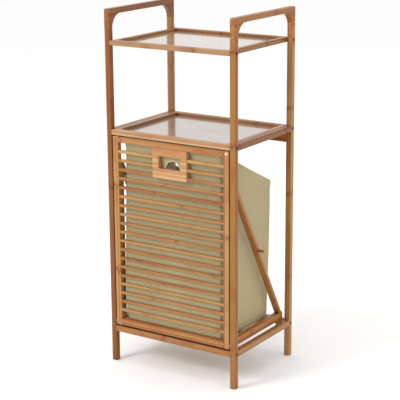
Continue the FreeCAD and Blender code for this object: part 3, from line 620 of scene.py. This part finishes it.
def ring_points(hw, y0, y1, r):
    """Points of one level with their outward normals, panel name and place along the panel (0..1)."""
    out = []

    def run(p0, p1, n, name, cells):
        for i in range(cells):
            f = i / cells
            out.append((p0[0] + (p1[0] - p0[0]) * f, p0[1] + (p1[1] - p0[1]) * f, n[0], n[1], name, f))

    def arc(cx, cy, a0, name, cells):
        for i in range(cells):
            a = math.radians(a0 + 90.0 * i / cells)
            out.append((cx + r * math.cos(a), cy + r * math.sin(a), math.cos(a), math.sin(a), name, i / cells))

    run((-hw + r, y0), (hw - r, y0), (0, -1), "front", 92)
    arc(hw - r, y0 + r, -90, "c_fr", 6)
    run((hw, y0 + r), (hw, y1 - r), (1, 0), "right", 62)
    arc(hw - r, y1 - r, 0, "c_rr", 6)
    run((hw - r, y1), (-hw + r, y1), (0, 1), "rear", 72)
    arc(-hw + r, y1 - r, 90, "c_rl", 6)
    run((-hw, y1 - r), (-hw, y0 + r), (-1, 0), "left", 62)
    arc(-hw + r, y0 + r, 180, "c_fl", 6)
    return out


def fold_out(name, f, x, y, z, rimz):
    """How far the cloth stands out of the plain loft: sag, soft vertical folds, small dents."""
    up = (z - BZ0) / max(rimz - BZ0, 1e-6)
    env = smooth(0.0, 0.10, up) * smooth(1.0, 0.90, up)
    if name in ("right", "left"):
        e = math.sin(math.pi * min(max(f, 0), 1)) ** 0.6
        yy = y
        d = 0.0009 * lump(yy, 0.052, 0.009) * smooth(0.98, 0.25, up)
        d -= 0.0011 * lump(yy, 0.070, 0.011) * smooth(1.0, 0.2, up)
        d += 0.0012 * lump(yy, 0.088, 0.010) * smooth(1.0, 0.3, up)
        d += 0.0010 * lump(yy - 0.012 * up, -0.018, 0.010) * smooth(0.62, 0.0, up)
        d -= 0.0011 * lump(yy - 0.010 * up, 0.003, 0.011) * smooth(0.60, 0.0, up)
        d += 0.0008 * lump(yy, -0.052, 0.014) * smooth(0.75, 0.05, up)
        d -= 0.0013 * lump(yy, -0.100, 0.020) * smooth(0.0, 0.5, up)
        d += 0.0010 * math.sin(up * 5.2 + yy * 14.0)
        d *= 1.0 + 0.9 * smooth(0.75, 0.15, up)
        if name == "left":
            d = d * 0.6 + 0.0006 * math.sin(yy * 60 + up * 4)
        return d * env * e
    if name in ("front", "rear"):
        e = math.sin(math.pi * min(max(f, 0), 1)) ** 0.6
        s = 1 if name == "front" else -1
        d = 0.0009 * math.sin(x * 27.0 + 0.6 + 1.5 * up) + 0.0006 * math.sin(x * 61.0 * s + 2.0 - up * 2.0)
        d += 0.0011 * lump(x, 0.118, 0.012) - 0.0010 * lump(x, 0.095, 0.012)
        d += 0.0009 * lump(x, -0.124, 0.010) - 0.0009 * lump(x, -0.104, 0.012)
        d *= smooth(1.02, 0.45, up)
        if name == "rear":
            d += 0.0022 * math.sin(math.pi * up) * math.sin(math.pi * f)
            d -= 0.0016 * lump(x, 0.03, 0.03) * lump(up, 0.9, 0.2)
        return d * env * e
    return 0.0


def seam_out(name, f):
    """Raised seam down the middle of each corner."""
    if name.startswith("c_"):
        return 0.0011 * math.exp(-((f - 0.5) / 0.16) ** 2)
    return 0.0


def cloth_point(i, s, drop=None):
    """Middle of the cloth at column i, s from floor (0) to rim (1) or `drop` below the rim; with its outward normal."""
    rim = 0.60
    for _ in range(4):
        q = ring_points_cached(rim)[i]
        rim = BZF + SLOPE * (q[1] - YF) - 0.0006
    if drop is not None:
        s = 1.0 - drop / (rim - BZ0)
    z = BZ0 + 0.0002 + (rim - BZ0) * s
    x, y, nx, ny, name, f = ring_points_cached(z)[i]
    up = (z - BZ0) / (rim - BZ0)
    rimdip = 0.0
    if name in ("right", "left"):
        rimdip = 0.0022 * math.sin(math.pi * f) * s ** 6
    if name == "rear":
        rimdip = 0.0016 * math.sin(math.pi * f) * s ** 6
    d = fold_out(name, f, x, y, z, rim) + seam_out(name, f) * smooth(0.0, 0.05, up)
    d += 0.0003 * noise.noise(Vector((x * 38, y * 38, z * 30))) * smooth(0.0, 0.1, up)
    # rounded lower edge
    low = z - BZ0
    if low < 0.006:
        d -= 0.6 * (0.006 - math.sqrt(max(0.0, 0.006 ** 2 - (0.006 - low) ** 2)))
    if name in ("right", "left"):
        # the weight inside pushes the foot of each side panel out towards the rail
        d += 0.0030 * smooth(0.062, 0.004, low) * math.sin(math.pi * f) ** 0.5
    # hem: the last 16 mm is turned over and a little thicker
    d += 0.0011 * smooth(0.0172, 0.0155, rim - z)
    px, py = x + nx * d - nx * THICK * 0.5, y + ny * d - ny * THICK * 0.5
    # the cloth has settled to the left and forward: the lower left side and the lower front belly out
    left = smooth(0.10, -0.15, x) * smooth(0.11, -0.05, y) * 0.85 + smooth(0.10, -0.15, x) * 0.15
    px -= (0.0052 + 0.0042 * smooth(0.60, 0.16, z)) * left * smooth(0.118, 0.128, z)
    py -= 0.0046 * smooth(-0.06, -0.13, y) * smooth(0.130, 0.155, z) * smooth(0.50, 0.22, z)
    return Vector((px, py, z - rimdip)), Vector((nx, ny, 0.0)), name


def make_bag():
    bm = bmesh.new()
    rows = 96
    n = len(ring_points(0.15, YF, 0.1, RC))
    # the rows near the hem are closer together, so that its edge shows
    levels = [q / 88 * 0.955 for q in range(88)] + [0.955 + 0.045 * q / 12 for q in range(13)]
    rows = len(levels) - 1
    grid = [[bm.verts.new(cloth_point(i, sv)[0]) for i in range(n)] for sv in levels]
    bm.verts.ensure_lookup_table()
    for j in range(rows):
        for i in range(n):
            k2 = (i + 1) % n
            bm.faces.new((grid[j][i], grid[j][k2], grid[j + 1][k2], grid[j + 1][i]))
    # floor of the bag: inset rings down to a flat grid
    prev = grid[0]
    cx, cy = 0.0, (YF + 0.0975) / 2
    for q in range(1, 9):
        fct = 1 - q / 9.0
        cur = []
        for v in grid[0]:
            cur.append(bm.verts.new((cx + (v.co.x - cx) * fct, cy + (v.co.y - cy) * fct, v.co.z)))
        for i in range(n):
            k2 = (i + 1) % n
            bm.faces.new((prev[k2], prev[i], cur[i], cur[k2]))
        prev = cur
    bm.faces.new(list(reversed(prev)))
    # cut-out in the front panel
    kill = []
    for f in bm.faces:
        c = f.calc_center_median()
        if abs(c.y - YF) < 0.012 and math.hypot(c.x, c.z - HOLE_Z) < HOLE_R - 0.0002:
            kill.append(f)
    bmesh.ops.delete(bm, geom=kill, context="FACES")
    for v in bm.verts:
        if v.is_boundary and abs(v.co.x) < 0.035 and abs(v.co.z - HOLE_Z) < 0.035 and v.co.y < YF + 0.012:
            dx, dz = v.co.x, v.co.z - HOLE_Z
            l = math.hypot(dx, dz)
            v.co.x, v.co.z = dx / l * HOLE_R, HOLE_Z + dz / l * HOLE_R
    bmesh.ops.recalc_face_normals(bm, faces=bm.faces)
    me = bpy.data.meshes.new("laundry_bag_cloth")
    bm.to_mesh(me)
    bm.free()
    for p in me.polygons:
        p.use_smooth = True
    o = bpy.data.objects.new("laundry_bag_cloth", me)
    scene.collection.objects.link(o)
    return o


_cache = {}


def ring_points_cached(z):
    key = round(z, 6)
    if key not in _cache:
        hw, yr = section(z)
        _cache[key] = ring_points(hw, YF, yr, RC)
    return _cache[key]


def apply_all(o):
    """Bakes an object's modifiers into its mesh."""
    dg = bpy.context.evaluated_depsgraph_get()
    me = bpy.data.meshes.new_from_object(o.evaluated_get(dg))
    me.name = o.name
    o.modifiers.clear()
    o.data = me
    return o


bag = make_bag()
sol = bag.modifiers.new("wall", "SOLIDIFY")
sol.thickness = THICK
sol.offset = 0.0
sol.use_even_offset = True
sol.use_rim = True
bpy.context.view_layer.update()
apply_all(bag)
for pl in bag.data.polygons:
    pl.use_smooth = True
bag.data.materials.clear()
bag.data.materials.append(CLOTH)
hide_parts("laundry_bag")
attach(bag, "hamper")


def stitches(name, path, normals, pitch=0.0040, length=0.0029, r=0.00042, closed=False):
    """A row of thread stitches lying on the cloth along a path."""
    pts = list(path)
    nrm = list(normals)
    if closed:
        pts.append(pts[0])
        nrm.append(nrm[0])
    cum = [0.0]
    for a, b in zip(pts, pts[1:]):
        cum.append(cum[-1] + (b - a).length)
    verts, faces = [], []
    k = 0
    t = pitch * 0.5
    prof = ((-0.5, 0.25, -0.55), (-0.34, 0.95, 0.35), (0.0, 1.0, 0.75), (0.34, 0.95, 0.35), (0.5, 0.25, -0.55))
    while t + length / 2 < cum[-1]:
        while cum[k + 1] < t:
            k += 1
        w = (t - cum[k]) / max(cum[k + 1] - cum[k], 1e-9)
        c = pts[k].lerp(pts[k + 1], w)
        nn = nrm[k].lerp(nrm[k + 1], w).normalized()
        d = (pts[k + 1] - pts[k]).normalized()
        sd = d.cross(nn).normalized()
        up = sd.cross(d).normalized()
        base = len(verts)
        for u, rr, h in prof:
            o = c + nn * (THICK * 0.5 + r * h) + d * (u * length)
            for q in range(6):
                ang = math.pi / 3 * q
                verts.append(o + (sd * math.cos(ang) + up * math.sin(ang)) * r * rr)
        for q in range(len(prof) - 1):
            for e in range(6):
                a0 = base + q * 6 + e
                a1 = base + q * 6 + (e + 1) % 6
                faces.append((a0, a1, a1 + 6, a0 + 6))
        faces.append(tuple(base + e for e in reversed(range(6))))
        faces.append(tuple(base + (len(prof) - 1) * 6 + e for e in range(6)))
        t += pitch
    me = bpy.data.meshes.new(name)
    me.from_pydata(verts, [], faces)
    me.update()
    for pl in me.polygons:
        pl.use_smooth = True
    me.materials.append(THREAD)
    o = bpy.data.objects.new(name, me)
    scene.collection.objects.link(o)
    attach(o, "hamper")
    return o


cols = [q[4] for q in ring_points(0.15, YF, 0.1, RC)]
ncol = len(cols)
hem_row = [cloth_point(i, 1.0, drop=0.0125) for i in range(ncol)]
stitches("hem_stitches", [h[0] for h in hem_row], [h[1] for h in hem_row], closed=True)
for cname, label in (("c_rr", "right"), ("c_rl", "left")):
    first = cols.index(cname)
    for off, tag in ((1, "a"), (5, "b")):
        run = [cloth_point((first + off) % ncol, 0.012 + 0.945 * q / 80) for q in range(81)]
        stitches("seam_stitches_%s_%s" % (label, tag), [h[0] for h in run], [h[1] for h in run])


# ------------------------------------------------------------------ floor, light, camera
def make_floor():
    me = bpy.data.meshes.new("floor")
    s = 12.0
    me.from_pydata([(-s, -s, 0), (s, -s, 0), (s, s, 0), (-s, s, 0)], [], [(0, 1, 2, 3)])
    o = bpy.data.objects.new("floor", me)
    scene.collection.objects.link(o)
    m, k, p = new_mat("floor_white")
    n = k.noise(k.coord(), 40.0, 3.0, 0.5)
    k.put(p.inputs["Base Color"], k.mix(k.math("MULTIPLY", n, 0.2), (0.975, 0.975, 0.975), (0.955, 0.955, 0.955)))
    p.inputs["Roughness"].default_value = 0.95
    p.inputs["Specular IOR Level"].default_value = 0.1
    me.materials.append(m)
    return o


make_floor()

world = bpy.data.worlds.new("studio")
scene.world = world
world.use_nodes = True
wt = world.node_tree
wt.nodes.clear()
wk = Net(wt)
wo = wt.nodes.new("ShaderNodeOutputWorld")
bg = wt.nodes.new("ShaderNodeBackground")
bg.inputs["Color"].default_value = (1.0, 1.0, 1.0, 1.0)
bg.inputs["Strength"].default_value = 1.0
wt.links.new(bg.outputs[0], wo.inputs[0])


def area(name, loc, target, size, power, color=(1, 1, 1)):
    l = bpy.data.lights.new(name, "AREA")
    l.shape = "RECTANGLE"
    l.size, l.size_y = size
    l.energy = power
    l.color = color
    o = bpy.data.objects.new(name, l)
    scene.collection.objects.link(o)
    o.location = loc
    d = Vector(target) - Vector(loc)
    o.rotation_mode = "QUATERNION"
    o.rotation_quaternion = d.to_track_quat("-Z", "Y")
    return o


area("key", (-1.15, -2.55, 2.3), (0, 0, 0.45), (0.9, 0.9), 44, (1.0, 0.985, 0.96))
area("top", (0.3, 0.2, 3.0), (0, 0, 0.5), (2.2, 2.2), 10)

# camera
F_PX, AZ, PITCH, ROLL = 1311.4395, 0.5826073, 0.2615928, -0.0069748
cd = bpy.data.cameras.new("camera")
cam = bpy.data.objects.new("camera", cd)
scene.collection.objects.link(cam)
cd.sensor_width = 36.0
cd.sensor_fit = "HORIZONTAL"
cd.lens = F_PX / 400.0 * 36.0
cd.clip_start, cd.clip_end = 0.05, 60.0
fwd = Vector((-math.sin(AZ) * math.cos(PITCH), math.cos(AZ) * math.cos(PITCH), -math.sin(PITCH)))
rgt = Vector((math.cos(AZ), math.sin(AZ), 0.0))
upv = rgt.cross(fwd)
c, s = math.cos(ROLL), math.sin(ROLL)
r2 = rgt * c + upv * s
u2 = upv * c - rgt * s
m3 = Matrix((r2, u2, -fwd)).transposed()
cam.matrix_world = Matrix.Translation(Vector((1.8780352, -2.8568129, 1.3672485))) @ m3.to_4x4()
scene.camera = cam

scene.view_settings.view_transform = "Standard"
scene.view_settings.look = "None"

bpy.context.view_layer.update()
